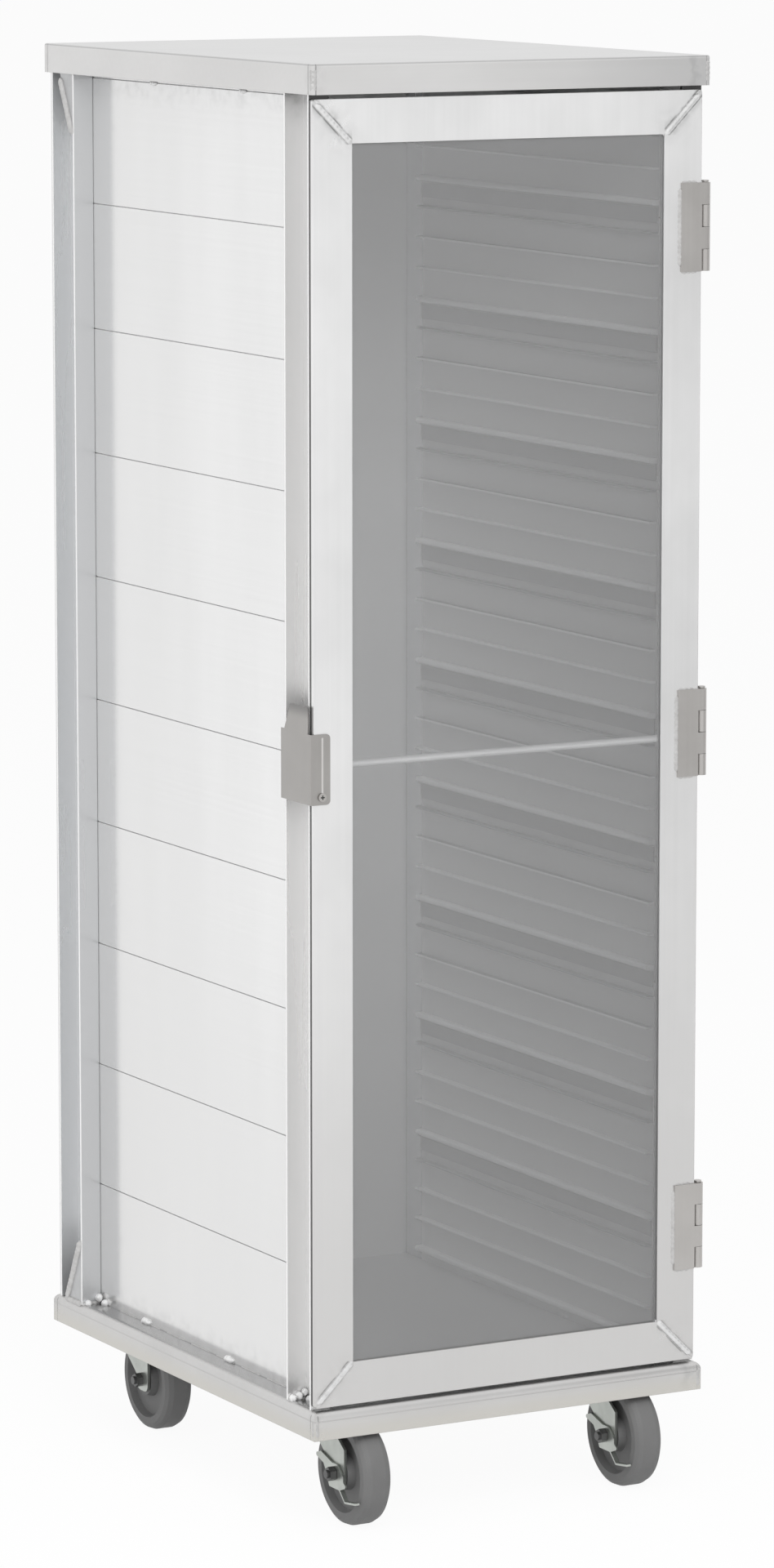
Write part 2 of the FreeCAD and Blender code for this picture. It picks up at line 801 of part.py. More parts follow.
def axle_bolt(name, nut_gap):
    """Bolt through both legs, head on the right, nut on the left."""
    reach = f"fork_half + {nut_gap} + axle_nut_height + axle_tail"
    shank = add_rod("Shank", f"-({reach})", "0", "0", "axle_radius", f"{reach} + fork_half",
                    axis=(0, 1, 0), turn=90)
    head = add_hexagon("Head", "fork_half", "0", "0", "axle_nut_radius", "axle_nut_height * 0.8",
                       axis=(0, 1, 0), turn=90)
    nut = add_hexagon("Nut", f"-(fork_half + {nut_gap} + axle_nut_height)", "0", "0", "axle_nut_radius",
                      "axle_nut_height", axis=(0, 1, 0), turn=90)
    return fuse(name, [shank, head, nut])


def brake_lever(name):
    """Pressed lever: a body round the axle, an arm up to the rear and a narrow tread turned in below."""
    body = new_body(name)
    length, height = "brake_half_length", "brake_half_height"
    side = [
        ("brake_arm", "brake_arm_rise"),
        ("brake_arm - 1.5 * brake_band", "brake_arm_rise + brake_band / 2"),
        (f"{length} / 4", f"{height} * 0.8"),
        (f"-{length} / 3", f"{height} * 0.8"),
        (f"-{length}", "0"),
        (f"-{length}", f"-{height} * 0.4"),
        (f"-{length} * 1.4", f"-{height} * 0.75"),
        (f"-{length} * 0.6", f"-{height} * 1.2"),
        (f"{length} * 0.55", f"-{height} * 1.2"),
        (f"{length} * 0.95", "0"),
        (f"{length} * 1.2", "brake_arm_rise / 2"),
    ]
    face = "-fork_half - brake_gap - brake_gauge"
    add_pad(body, draw_outline(new_sketch(body, "YZ_Plane", face), side), "brake_gauge")
    add_fillet(body, "brake_corner_radius", lambda edge: level(edge, "x") is None)
    bend, low = "-brake_tread_reach / 2", "-brake_tread_drop"
    tread = [
        (f"-{length} * 0.4", f"-{height}"),
        (bend, low),
        ("-brake_tread_reach", f"{low} + brake_gauge * 1.5"),
        ("-brake_tread_reach", f"{low} + brake_gauge * 2.5"),
        (bend, f"{low} + brake_gauge"),
        (f"-{length} * 0.4 - brake_gauge * 1.4", f"-{height}"),
    ]
    add_pad(body, draw_outline(new_sketch(body, "YZ_Plane", face), tread), "brake_tread_width")
    bore = draw_circle(new_sketch(body, "YZ_Plane"), "0", "0", "axle_radius + axle_clearance")
    add_pocket(body, bore)
    return body


bolts = []
for end, along in (("front", "-caster_span_y / 2"), ("rear", "caster_span_y / 2")):
    for side, across in (("left", "-caster_span_x / 2"), ("right", "caster_span_x / 2")):
        where = f"{end}_{side}"
        braked = end == "front"
        axle_at = {"x": across, "y": f"{along} - caster_trail", "z": "wheel_radius"}
        node(place(top_plate("TopPlate"), across, along), f"caster_plate_{where}")
        node(place(fork("Fork"), across, along), f"caster_fork_{where}")
        node(place(wheel("Wheel"), **axle_at), f"caster_wheel_{where}")
        nut_gap = "2 * brake_gap + brake_gauge" if braked else "0"
        node(place(axle_bolt("Axle", nut_gap), **axle_at), f"caster_axle_{where}")
        if braked:
            node(place(brake_lever("Brake"), **axle_at), f"caster_brake_{where}")
        for step_x in ("-bolt_span_width / 2", "bolt_span_width / 2"):
            for step_y in ("-bolt_span_length / 2", "bolt_span_length / 2"):
                bolt_x, bolt_y = f"{across} + {step_x}", f"{along} + {step_y}"
                shank = add_rod("BoltShank", bolt_x, bolt_y, "plate_bottom", "bolt_radius", "top_plate_gauge")
                head = add_hexagon("BoltHead", bolt_x, bolt_y, "plate_bottom - bolt_head_height",
                                   "bolt_head_radius", "bolt_head_height")
                bolts.append(fuse("CasterBolt", [shank, head]))
node(group("CasterBolts", bolts), "caster_bolts")

doc.recompute()

for thing in doc.Objects:
    if "Invalid" in thing.State or "Error" in thing.State:
        raise RuntimeError(f"{thing.Label}: {thing.State}")
for piece in nodes:
    if piece.Shape.isNull() or not piece.Shape.isValid():
        raise RuntimeError(f"{piece.Label}: bad shape")

os.makedirs("parts", exist_ok=True)
for piece in nodes:
    piece.Shape.exportStep(f"parts/{piece.Label}.step")
    box = piece.Shape.BoundBox
    print(f"{piece.Label}: {len(piece.Shape.Solids)} solid(s), {piece.Shape.Volume / 1000:.1f} cm3,"
          f" z {box.ZMin:.1f} to {box.ZMax:.1f}")
print(len(nodes), "nodes")
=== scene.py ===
import math
import bpy
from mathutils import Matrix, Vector


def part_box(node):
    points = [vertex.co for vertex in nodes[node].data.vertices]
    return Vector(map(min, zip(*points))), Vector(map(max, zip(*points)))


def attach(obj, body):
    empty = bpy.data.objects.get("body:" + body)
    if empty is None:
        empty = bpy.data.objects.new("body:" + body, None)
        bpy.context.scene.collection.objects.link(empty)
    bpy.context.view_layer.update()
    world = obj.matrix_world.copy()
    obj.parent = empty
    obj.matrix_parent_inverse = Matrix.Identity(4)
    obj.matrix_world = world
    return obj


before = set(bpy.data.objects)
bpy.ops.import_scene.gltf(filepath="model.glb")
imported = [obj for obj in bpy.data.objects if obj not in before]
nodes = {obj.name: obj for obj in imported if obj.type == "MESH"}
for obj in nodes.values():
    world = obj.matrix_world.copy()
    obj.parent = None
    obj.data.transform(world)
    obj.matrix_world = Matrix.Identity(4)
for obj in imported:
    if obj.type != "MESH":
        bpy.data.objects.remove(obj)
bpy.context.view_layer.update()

scene = bpy.context.scene
scene.view_settings.view_transform = "Standard"
mm = 0.001
print("frame loaded:", len(nodes), "nodes")


# node maths: a socket that can be added, multiplied and so on
class Flow:
    def __init__(self, board, socket):
        self.board = board
        self.socket = socket

    def math(self, operation, *others):
        step = self.board.nodes.new("ShaderNodeMath")
        step.operation = operation
        for slotIndex, entry in enumerate((self,) + others):
            self.board.feed(step.inputs[slotIndex], entry)
        return Flow(self.board, step.outputs[0])

    def __add__(self, other):
        return self.math("ADD", other)

    def __radd__(self, other):
        return self.math("ADD", other)

    def __sub__(self, other):
        return self.math("SUBTRACT", other)

    def __rsub__(self, other):
        return self.math("MULTIPLY_ADD", -1.0, other)

    def __mul__(self, other):
        return self.math("MULTIPLY", other)

    def __rmul__(self, other):
        return self.math("MULTIPLY", other)

    def __truediv__(self, other):
        return self.math("DIVIDE", other)

    def __abs__(self):
        return self.math("ABSOLUTE")

    def least(self, other):
        return self.math("MINIMUM", other)

    def most(self, other):
        return self.math("MAXIMUM", other)

    def ramp(self, low, high):  # 0 below low, 1 above high, smooth between
        return self.board.make("ShaderNodeMapRange", {"interpolation_type": "SMOOTHSTEP"}, Value=self,
                               **{"From Min": low, "From Max": high, "To Min": 0.0, "To Max": 1.0})

    def near(self, centre, width):  # 1 at the centre, 0 past the width
        return 1.0 - abs(self - centre).ramp(0.0, width)

    def below(self, limit):
        return self.math("LESS_THAN", limit)

    def above(self, limit):
        return self.math("GREATER_THAN", limit)

    def within(self, low, high):
        return self.above(low) * self.below(high)

    def wrap(self, period):  # repeats, with 0 at the middle of each period
        return self.math("WRAP", period / 2, -period / 2)


# a node tree with one method for every other node
class Board:
    def __init__(self, tree):
        self.nodes = tree.nodes
        self.links = tree.links

    def feed(self, socket, entry):
        if isinstance(entry, Flow):
            self.links.new(entry.socket, socket)
        elif entry is not None:
            socket.default_value = entry

    def make(self, kind, settings=None, output=0, **sockets):  # _0 stands for the socket at index 0
        step = self.nodes.new(kind)
        for key, setting in (settings or {}).items():
            setattr(step, key, setting)
        for key, entry in sockets.items():
            self.feed(step.inputs[int(key[1:])] if key[0] == "_" else step.inputs[key], entry)
        return Flow(self, step.outputs[output]) if len(step.outputs) else None


class Finish(Board):
    def __init__(self, name):
        self.material = bpy.data.materials.new(name)
        self.material.use_nodes = True
        super().__init__(self.material.node_tree)
        self.nodes.clear()
        self.place = self.make("ShaderNodeTexCoord", output=3)  # object coordinates, metres
        self.x, self.y, self.z = (self.make("ShaderNodeSeparateXYZ", output=axis, Vector=self.place)
                                  for axis in range(3))

    def noise(self, scale, stretch=(1, 1, 1), detail=3.0, rough=0.5, twist=0.0):
        where = self.make("ShaderNodeMapping", Vector=self.place, Scale=stretch)
        return self.make("ShaderNodeTexNoise", Vector=where, Scale=scale, Detail=detail, Roughness=rough,
                         Distortion=twist)

    def mix(self, factor, first, second):
        return self.make("ShaderNodeMix", {"data_type": "RGBA", "clamp_factor": True}, output=2,
                         _0=factor, _6=first, _7=second)

    def finish(self, surface):
        self.make("ShaderNodeOutputMaterial", Surface=surface)
        return self.material


def grey(level, warmth=0.0):
    return (level * (1 + warmth), level, level * (1 - warmth), 1.0)


# boxes of the pieces that the finishes and the welds are placed by
baseLow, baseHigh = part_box("base_pan")
lidLow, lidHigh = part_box("lid")
stileLow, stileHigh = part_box("door_stile_left")
leafLow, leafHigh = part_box("hinge_leaves_door")
latchLow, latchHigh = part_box("latch_plate")
screwLow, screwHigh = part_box("latch_screw")
frontPostLow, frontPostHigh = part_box("front_post_left")
rearPostLow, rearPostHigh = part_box("rear_post_left")
wallLow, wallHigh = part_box("wall_plank_left_01")
doorLow, doorHigh = stileLow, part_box("door_stile_right")[1]
railWidth = stileHigh.x - stileLow.x

# what a metal has unless its own entry says otherwise
plainMetal = {"depth": 1.6, "grainDepth": 0.4, "cloudRough": 0.4, "grainRough": 0.25, "grainHeight": 0.06}
# light and dark tint, cloudy patches, streaks along one axis, and how far sharp edges are eased
metals = {
    "wallAluminium": {"light": grey(0.90), "dark": grey(0.80), "metal": 0.82, "rough": 0.16,
                      "edge": 0.4 * mm, "cloud": (5, 6, 1.0), "grain": (60, 1.5, 220)},
    "lidAluminium": {"light": grey(0.74, 0.006), "dark": grey(0.64, 0.008), "metal": 0.85, "rough": 0.34,
                     "edge": 1.2 * mm, "cloud": (4, 4, 6), "grain": (3, 160, 160)},
    "baseAluminium": {"light": grey(0.64, 0.008), "dark": grey(0.53, 0.012), "metal": 0.85, "rough": 0.30,
                      "edge": 1.2 * mm, "cloud": (6, 6, 9), "grain": (3, 160, 160)},
    "rearAluminium": {"light": grey(0.80), "dark": grey(0.70), "metal": 0.80, "rough": 0.36,
                      "edge": 0.4 * mm, "cloud": (5, 5, 2), "grain": (160, 160, 2)},
    "postAluminium": {"light": grey(0.88, 0.004), "dark": grey(0.78, 0.004), "metal": 0.7, "rough": 0.26,
                      "edge": 0.9 * mm, "cloud": (7, 7, 1.6), "grain": (60, 60, 0.6), "grainDepth": 0.1},
    "gussetAluminium": {"light": grey(0.56, -0.01), "dark": grey(0.44, -0.01), "metal": 0.7, "rough": 0.34,
                        "edge": 0.6 * mm, "cloud": (40, 40, 40), "grain": (160, 160, 160)},
    "doorAluminium": {"light": grey(0.905), "dark": grey(0.765), "metal": 0.85, "rough": 0.32,
                      "edge": 1.2 * mm, "cloud": (5, 5, 4), "grain": (160, 160, 2.0), "depth": 2.2},
    "rodAluminium": {"light": grey(0.96), "dark": grey(0.86), "metal": 0.2, "rough": 0.34, "edge": 0.2 * mm,
                     "cloud": (20, 20, 20), "grain": (4, 300, 300)},
    "stainless": {"light": grey(0.53, 0.03), "dark": grey(0.44, 0.035), "metal": 0.9, "rough": 0.36,
                  "edge": 0.5 * mm, "cloud": (14, 14, 14), "grain": (300, 300, 4)},
    "latchSteel": {"light": grey(0.43, 0.03), "dark": grey(0.36, 0.035), "metal": 0.9, "rough": 0.36,
                   "edge": 0.5 * mm, "cloud": (14, 14, 14), "grain": (300, 300, 4)},
    # the latch's crease: its steel painted lighter as a highlight
    "creaseSteel": {"light": grey(0.66, 0.02), "dark": grey(0.56, 0.03), "metal": 0.8, "rough": 0.30,
                    "edge": 0.0, "cloud": (30, 30, 30), "grain": (300, 300, 4)},
    "zincPlate": {"light": (0.55, 0.575, 0.54, 1), "dark": (0.40, 0.42, 0.395, 1), "metal": 0.9,
                  "rough": 0.32, "edge": 0.5 * mm, "cloud": (30, 30, 30), "grain": (60, 60, 60)},
    "darkSteel": {"light": grey(0.17), "dark": grey(0.10), "metal": 0.85, "rough": 0.38, "edge": 0.3 * mm,
                  "cloud": (60, 60, 60), "grain": (90, 90, 90)},
    "weldMetal": {"light": grey(0.84), "dark": grey(0.62), "metal": 0.85, "rough": 0.30, "edge": 0.0,
                  "cloud": (120, 120, 120), "grain": (300, 300, 300)},
    "groundWeld": {"light": grey(0.66, 0.006), "dark": grey(0.46, 0.012), "metal": 0.85, "rough": 0.46,
                   "edge": 0.0, "cloud": (170, 170, 170), "grain": (300, 300, 300)},
    "weldBlob": {"light": grey(0.92), "dark": grey(0.66), "metal": 0.3, "rough": 0.40, "edge": 0.0,
                 "cloud": (130, 130, 130), "grain": (300, 300, 300)},
}

# the inside keeps a dull, even mill finish
inside = {"tint": grey(0.73), "wallTint": grey(0.81), "floorTint": grey(0.66), "metal": 0.25, "rough": 0.42,
          "x": abs(wallLow.x) - 0.5 * mm, "y": rearPostHigh.y + 1 * mm,
          "low": baseHigh.z - 1 * mm, "high": lidHigh.z - 1 * mm}
# smoke left by welding at the foot and the head of the cabinet, with painted shade under the lid at the
# head; the same dark tint serves the toe lines and other painted shade
heatAndShadeMark = {"tint": grey(0.24), "near": 2 * mm, "far": 42 * mm, "scale": 55.0, "patches": (0.38, 0.78)}
# swirls of a grinder: where bright turns to dull, and how much they change the tone and the shine
grinder = {"level": 0.55, "contrast": 2.2, "dulling": 0.15, "shineLevel": 0.4, "shine": 0.2}
bumpDistance = 0.5 * mm


class Metal(Finish):  # a metal whose marks are added one by one before it is done
    def __init__(self, name, kind=None):
        super().__init__(name)
        self.look = {**plainMetal, **metals[kind or name]}
        self.clouds = self.noise(1.0, stretch=self.look["cloud"], detail=4.0, rough=0.55)
        grain = self.noise(1.0, stretch=self.look["grain"], detail=2.0)
        cloudiness, streaks = self.clouds - 0.5, grain - 0.5
        self.blend = cloudiness * self.look["depth"] + streaks * self.look["grainDepth"] + 0.5
        self.rough = self.look["rough"] * (1.0 + cloudiness * self.look["cloudRough"]
                                           + streaks * self.look["grainRough"])
        self.metal = self.look["metal"]
        self.height = grain * self.look["grainHeight"]
        self.tints = []

    def tone(self, zone, tint):
        self.tints.append((zone, tint))

    def grind(self, zone, swirl, depth):
        swirls = self.noise(swirl, detail=3.0, twist=1.5)
        self.blend = self.blend + zone * ((swirls - grinder["level"]) * grinder["contrast"] * depth
                                          - grinder["dulling"])
        self.rough = self.rough - zone * (swirls - grinder["shineLevel"]) * grinder["shine"]

    def score(self, line, depth):  # a dark line pressed in
        self.blend = self.blend - line * depth
        self.height = self.height - line

    def smokeAndShade(self, strength):
        # welding smoke at the foot and the head, where it is also painted shade under the lid
        foot = 1.0 - (self.z - baseHigh.z).ramp(heatAndShadeMark["near"], heatAndShadeMark["far"])
        head = (self.z - lidLow.z).ramp(-heatAndShadeMark["far"], -heatAndShadeMark["near"])
        patches = self.noise(heatAndShadeMark["scale"], detail=4.0, rough=0.6).ramp(*heatAndShadeMark["patches"])
        self.tone(foot.most(head) * patches * strength, heatAndShadeMark["tint"])

    def goIndoors(self, tint=inside["tint"]):
        indoors = (abs(self.x).below(inside["x"]) * abs(self.y).below(inside["y"])
                   * self.z.within(inside["low"], inside["high"]))
        self.tone(indoors, tint)
        self.rough = self.rough + indoors * (inside["rough"] - self.rough)
        self.metal = self.metal + indoors * (inside["metal"] - self.metal)

    def done(self, bumpStrength=1.0):
        colour = self.mix(self.blend, self.look["dark"], self.look["light"])
        for zone, tint in self.tints:
            colour = self.mix(zone, colour, tint)
        eased = None
        if self.look["edge"]:
            eased = self.make("ShaderNodeBevel", {"samples": 4}, Radius=self.look["edge"])
        normal = self.make("ShaderNodeBump", Height=self.height, Strength=bumpStrength,
                           Distance=bumpDistance, Normal=eased)
        surface = {"Base Color": colour, "Roughness": self.rough, "Metallic": self.metal, "Normal": normal}
        return self.finish(self.make("ShaderNodeBsdfPrincipled", **surface))


# wall planks: a painted highlight on the thick ledge above each seam, painted shade on the thin ones, and a
# painted shadow on the lap under each thick ledge
ledges = {"rise": 20.5 * mm, "seamPitch": 152.4 * mm, "reach": 9.7 * mm, "ledgeHighlight": (-7.2 * mm, -6.12 * mm),
          "tint": grey(1.0), "metal": 0.0, "seam": (-9 * mm, 1 * mm), "plainTint": grey(0.34),
          "plainShare": 0.7, "lap": (-22 * mm, -7 * mm), "lapTint": grey(0.5), "lapShare": 0.15}
# painted shade: duller to the rear and near the foot
wallShade = {"tint": grey(0.72, 0.004), "rear": 0.45, "rearFrom": -0.2, "foot": 0.5, "footTo": 0.9,
             "smokeAndShade": 0.2}


def wallFinish():
    paint = Metal("wallAluminium")
    # painted shade, duller to the rear and near the foot
    paint.tone(paint.y.ramp(wallShade["rearFrom"], wallHigh.y) * wallShade["rear"], wallShade["tint"])
    paint.tone((1.0 - paint.z.ramp(baseHigh.z, wallShade["footTo"])) * wallShade["foot"], wallShade["tint"])
    paint.smokeAndShade(wallShade["smokeAndShade"])
    paint.goIndoors(inside["wallTint"])
    onLedge = abs(paint.x).below(abs(wallHigh.x) + ledges["reach"])
    fromTop = (paint.z - (baseHigh.z + ledges["rise"])).wrap(ledges["seamPitch"])  # of the thick ledge
    seamZone = fromTop.within(*ledges["seam"])
    lapShadowZone = fromTop.within(*ledges["lap"]) * abs(paint.x).below(inside["x"])
    # painted shade on the thin ledges
    paint.tone(onLedge * (1.0 - seamZone) * ledges["plainShare"], ledges["plainTint"])
    # painted shadow under each thick ledge
    paint.tone(lapShadowZone * ledges["lapShare"], ledges["lapTint"])
    # painted highlight on the thick ledge above each seam
    ledgeHighlight = fromTop.ramp(*ledges["ledgeHighlight"]) * onLedge
    paint.tone(ledgeHighlight, ledges["tint"])
    paint.metal = paint.metal + ledgeHighlight * (ledges["metal"] - paint.metal)
    return paint.done()


# lid and base: corners welded and ground, with dark lines where the weld meets the sheet
sheetCorner = {"reach": (7.8 * mm, 26 * mm), "swirl": 60.0, "depth": 0.6, "skin": 1.5 * mm,
               "sideToe": 10 * mm, "frontToe": 5 * mm, "toeWidth": 1.0 * mm, "toeShare": 0.85,
               "patch": 22 * mm, "patchWidth": 10 * mm, "patchTint": grey(0.42), "patchSide": (-0.1, 0.1),
               "ragged": 26 * mm, "raggedScale": 90.0}


def groundCorners(paint, high, patchStrength):
    fromSide = high.x - abs(paint.x)
    fromEnd = high.y - abs(paint.y)
    fromCorner = fromSide.most(fromEnd)
    paint.grind(1.0 - fromCorner.ramp(*sheetCorner["reach"]), sheetCorner["swirl"], sheetCorner["depth"])
    skin = sheetCorner["skin"]
    onSide = fromSide.below(skin) * fromEnd.near(sheetCorner["sideToe"], sheetCorner["toeWidth"])
    onFront = fromEnd.below(skin) * fromSide.near(sheetCorner["frontToe"], sheetCorner["toeWidth"])
    toe = onSide.most(onFront)
    paint.score(toe, 1.0)
    paint.tone(toe * sheetCorner["toeShare"], heatAndShadeMark["tint"])
    ragged = fromCorner + (paint.noise(sheetCorner["raggedScale"]) - 0.5) * sheetCorner["ragged"]
    patch = ragged.near(sheetCorner["patch"], sheetCorner["patchWidth"])
    paint.tone(patch * paint.x.ramp(*sheetCorner["patchSide"]) * patchStrength, sheetCorner["patchTint"])


# painted shade: duller to the right, an evenly duller top, and a dark line along the fold
lidShade = {"tint": grey(0.55), "share": 0.6, "from": -0.05, "topTint": grey(0.59), "topShare": 0.85,
            "top": 0.5 * mm, "fold": 1.3 * mm, "foldTint": grey(0.32), "foldShare": 0.65, "patch": 0.7}


def lidFinish():
    paint = Metal("lidAluminium")
    groundCorners(paint, lidHigh, lidShade["patch"])
    # painted shade towards the right
    paint.tone(paint.x.ramp(lidShade["from"], lidHigh.x) * lidShade["share"], lidShade["tint"])
    fromTop = lidHigh.z - paint.z
    # painted shade on the top
    paint.tone(fromTop.below(lidShade["top"]) * lidShade["topShare"], lidShade["topTint"])
    # painted dark line of shade along the fold
    fold = fromTop.near(lidShade["fold"], lidShade["fold"])
    paint.tone(fold * lidShade["foldShare"], lidShade["foldTint"])
    paint.goIndoors()
    return paint.done()


# base: a line rolled in under the nose, a duller rim, a smoother deck painted darker as shade, and painted
# shade along the foot of the wall
rim = {"groove": 11 * mm, "grooveWidth": 1.1 * mm, "grooveDepth": 3.0, "lowTint": (0.60, 0.585, 0.545, 1),
       "lowShare": 0.8, "low": (4 * mm, 24 * mm), "deck": (-1.0 * mm, -0.1 * mm), "deckTint": grey(0.40),
       "deckShare": 0.9, "deckShine": 0.5, "footLine": 3 * mm, "patch": 0.5, "bump": 0.6}


def baseFinish():
    paint = Metal("baseAluminium")
    groundCorners(paint, baseHigh, rim["patch"])
    paint.score(paint.z.near(baseHigh.z - rim["groove"], rim["grooveWidth"]), rim["grooveDepth"])
    paint.tone((1.0 - (paint.z - baseLow.z).ramp(*rim["low"])) * rim["lowShare"], rim["lowTint"])
    # the deck painted darker as shade
    deck = (paint.z - baseHigh.z).ramp(*rim["deck"])
    paint.tone(deck * rim["deckShare"], rim["deckTint"])
    # painted shade along the foot of the wall
    wallFootShade = (abs(paint.x) - abs(wallLow.x)).near(0.0, rim["footLine"]) * deck
    paint.tone(wallFootShade, heatAndShadeMark["tint"])
    paint.rough = paint.rough * (1.0 - deck * rim["deckShine"])
    paint.height = paint.height * (1.0 - deck)
    paint.goIndoors(inside["floorTint"])
    return paint.done(rim["bump"])


# door frame: ground either side of each mitre, with a dark toe line along both sides of the bead
mitre = {"swirl": 24.0, "reach": (8 * mm, 40 * mm), "depth": 0.6, "fade": 1.5, "face": 1 * mm,
         "toe": 4.3 * mm, "toeWidth": 1.9 * mm, "toeShare": 0.9, "leastToe": 0.25,
         "uneven": 75.0, "patches": (0.34, 0.62), "smear": 13 * mm, "smearShare": 0.3,
         "flank": 2.4 * mm, "flankShare": 0.7}
# painted shade: duller and warmer near the foot, and a dark line of painted shade in the gap to the post
doorShade = {"tint": grey(0.55, 0.014), "top": 1.05, "share": 0.75,
             "gap": grey(0.10), "gapDepth": 2.6 * mm, "gapWidth": 0.6 * mm}


def fromMitre(paint):  # how far from the mitre line, and from the outer edges of the frame
    middle, halfSize = (doorLow + doorHigh) / 2, (doorHigh - doorLow) / 2
    fromSide = halfSize.x - abs(paint.x - middle.x)
    fromEnd = halfSize.z - abs(paint.z - middle.z)
    return abs(fromSide - fromEnd) * math.sqrt(0.5), fromSide.most(fromEnd)


def doorFinish():
    paint = Metal("doorAluminium")
    apart, fromEdge = fromMitre(paint)
    atCorner = 1.0 - fromEdge.ramp(railWidth, railWidth * mitre["fade"])
    paint.grind((1.0 - apart.ramp(*mitre["reach"])) * atCorner, mitre["swirl"], mitre["depth"])
    cornerFace = fromEdge.below(railWidth) * (paint.y - doorLow.y).below(mitre["face"])
    uneven = paint.noise(mitre["uneven"], detail=2.0).ramp(*mitre["patches"])
    toe = apart.near(mitre["toe"], mitre["toeWidth"]) * cornerFace
    paint.score(toe * uneven, 1.0)
    darkness = uneven * (1 - mitre["leastToe"]) + mitre["leastToe"]
    paint.tone(toe * darkness * mitre["toeShare"], heatAndShadeMark["tint"])
    smear = (1.0 - apart.ramp(mitre["toe"], mitre["smear"])) * cornerFace
    paint.tone(smear * uneven * mitre["smearShare"], heatAndShadeMark["tint"])
    # painted shade near the foot
    paint.tone((1.0 - paint.z.ramp(doorLow.z, doorShade["top"])) * doorShade["share"], doorShade["tint"])
    # painted shade in the gap between the door's side and the post
    outerSide = (paint.x - doorLow.x).below(doorShade["gapWidth"])
    paint.tone(outerSide * (paint.y - stileHigh.y).above(-doorShade["gapDepth"]), doorShade["gap"])
    return paint.done()


# posts: painted shade behind the gap that the door leaves under the lid; the rear ones painted duller as
# shade, with painted highlights along the outer edges
gapShade = {"tint": grey(0.08), "behind": 4 * mm, "under": 1 * mm}
rearShadeAndHighlight = {"face": grey(0.63, -0.014), "faceDepth": 0.3 * mm, "channel": grey(0.77, -0.012), "share": 0.9,
             "edge": grey(0.96), "edgeDepth": 0.5 * mm}
postLook = {"smokeAndShade": 0.45, "bump": 0.1}


def postFinish():
    paint = Metal("postAluminium")
    paint.smokeAndShade(postLook["smokeAndShade"])
    # painted shade behind the gap under the lid
    overDoor = paint.z.above(doorHigh.z - gapShade["under"])
    paint.tone(overDoor * paint.y.below(frontPostLow.y + gapShade["behind"]), gapShade["tint"])
    # painted shade on the rear posts
    atRear = paint.y.above(0.0)
    onFace = paint.y.below(rearPostLow.y + rearShadeAndHighlight["faceDepth"])
    paint.tone(atRear * rearShadeAndHighlight["share"], rearShadeAndHighlight["channel"])
    paint.tone(atRear * onFace * rearShadeAndHighlight["share"], rearShadeAndHighlight["face"])
    # painted highlight along the outer edges
    paint.tone(abs(paint.x).above(abs(rearPostLow.x) - rearShadeAndHighlight["edgeDepth"]), rearShadeAndHighlight["edge"])
    return paint.done(postLook["bump"])


# latch: painted shade on its ear where it curls over at the top
earShade = {"tint": grey(0.24, 0.02), "fall": 16 * mm}


def latchFinish():
    paint = Metal("latchSteel")
    # painted shade at the top of the ear
    paint.tone((paint.z - latchHigh.z).ramp(-earShade["fall"], 0.0), earShade["tint"])
    return paint.done()


def rearFinish():
    paint = Metal("rearAluminium")
    paint.goIndoors()
    return paint.done()


weldBump = 0.5


def weldFinish(kind, flanks=False):
    paint = Metal(kind + "Dark" if flanks else kind, kind)
    paint.height = paint.clouds
    if flanks:  # painted shade along both flanks of the mitre beads
        apart, fromEdge = fromMitre(paint)
        flankShade = apart.ramp(mitre["flank"], mitre["toe"]) * fromEdge.below(railWidth)
        paint.tone(flankShade * mitre["flankShare"], heatAndShadeMark["tint"])
    return paint.done(weldBump)


# latch screw: a cross recess painted in as dark shade on a pan head
crossRecess = {"arm": 2.6 * mm, "width": 0.75 * mm, "tint": grey(0.05)}


def screwFinish():
    paint = Metal("screwSteel", "stainless")
    acrossHead = abs(paint.x - (screwLow.x + screwHigh.x) / 2)
    upHead = abs(paint.z - (screwLow.z + screwHigh.z) / 2)
    withinArm = acrossHead.most(upHead).below(crossRecess["arm"])
    # painted shade for the cross recess
    paint.tone(acrossHead.least(upHead).below(crossRecess["width"]) * withinArm, crossRecess["tint"])
    return paint.done()


finishes = {"wallAluminium": wallFinish(), "lidAluminium": lidFinish(), "baseAluminium": baseFinish(),
            "rearAluminium": rearFinish(), "postAluminium": postFinish(), "doorAluminium": doorFinish(),
            "mitreWeld": weldFinish("weldMetal", True), "groundWeld": weldFinish("groundWeld"),
            "weldBlob": weldFinish("weldBlob"), "latchSteel": latchFinish(), "screwSteel": screwFinish()}
for name in ("rodAluminium", "gussetAluminium", "stainless", "creaseSteel", "zincPlate", "darkSteel"):
    finishes[name] = Metal(name).done()

# the wheels: grey one-piece rubber, slightly mottled
wheelLook = {"light": grey(0.175), "dark": grey(0.135), "rough": 0.62, "cloud": 25.0}


def wheelFinish():
    paint = Finish("wheelRubber")
    clouds = paint.noise(wheelLook["cloud"], detail=4.0)
    colour = paint.mix(clouds, wheelLook["dark"], wheelLook["light"])
    surface = {"Base Color": colour, "Roughness": wheelLook["rough"]}
    return paint.finish(paint.make("ShaderNodeBsdfPrincipled", **surface))


# the pane: clear sheet that lets light straight through, with a little haze and a soft shine
paneLook = {"clear": (0.985, 0.987, 0.988, 1), "shine": (1, 1, 1, 1), "rough": 0.28, "index": 1.5,
            "haze": 0.104, "hazeTint": (0.85, 0.85, 0.86, 1)}


